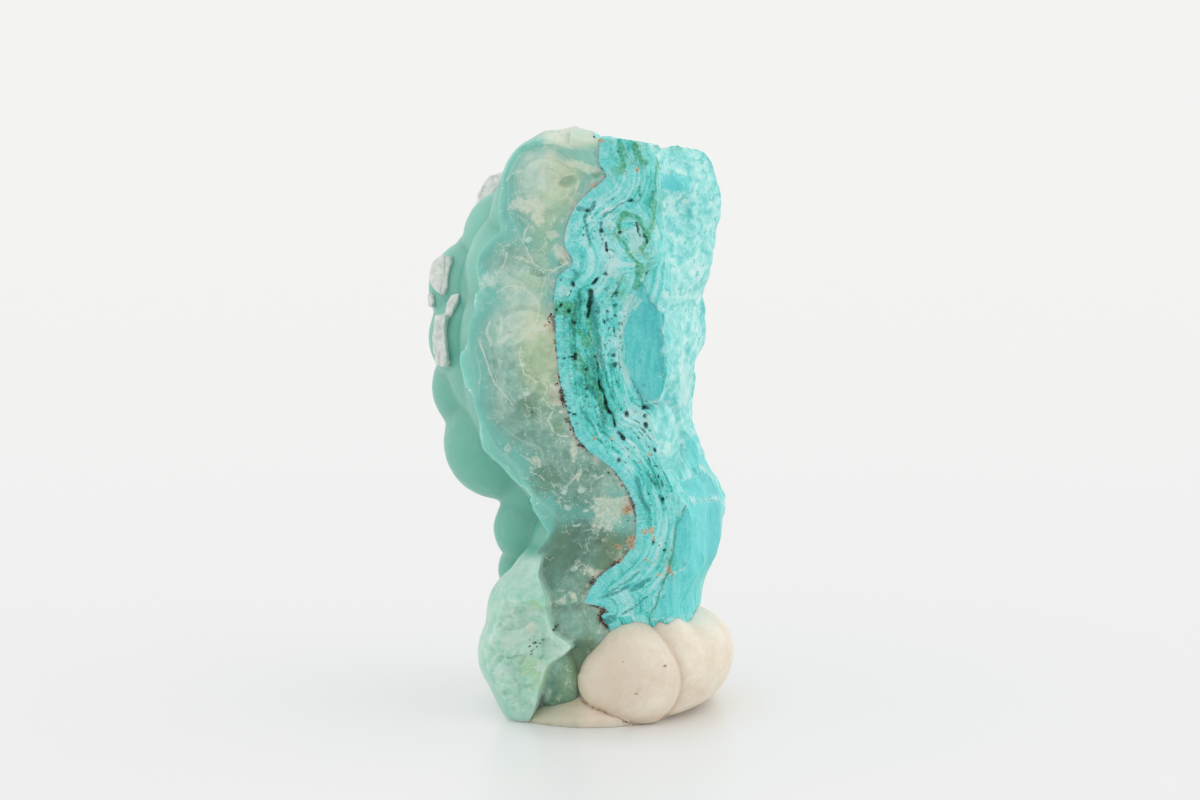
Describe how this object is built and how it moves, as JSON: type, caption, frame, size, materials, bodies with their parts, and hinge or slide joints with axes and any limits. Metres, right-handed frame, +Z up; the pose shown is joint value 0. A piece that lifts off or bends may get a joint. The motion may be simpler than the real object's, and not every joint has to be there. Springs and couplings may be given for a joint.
{
  "type": "smithsonite mineral specimen",
  "caption": "Blue-green lobed mineral crust with a broken front section, on banded turquoise rock, with flat white crystals, standing upright in a lump of cream putty.",
  "frame": {"origin": "middle of the specimen's bounding box, on the surface that its putty stands on", "axes": "+Z up, the specimen's height; +Y from the broken section to the back; +X to the right of the section, from the crust to the rock"},
  "size_m": [0.032, 0.039, 0.0599],
  "materials": {
    "crust": "satin",
    "rock": "matte",
    "white_mineral": "satin",
    "putty": "matte"
  },
  "bodies": {
    "root": {"smithsonite_crust": "crust", "banded_matrix": "rock", "white_crystal_1": "white_mineral", "white_crystal_2": "white_mineral", "white_crystal_3": "white_mineral", "white_crystal_4": "white_mineral", "white_crystal_5": "white_mineral", "putty_lump": "putty"}
  },
  "joints": []
}
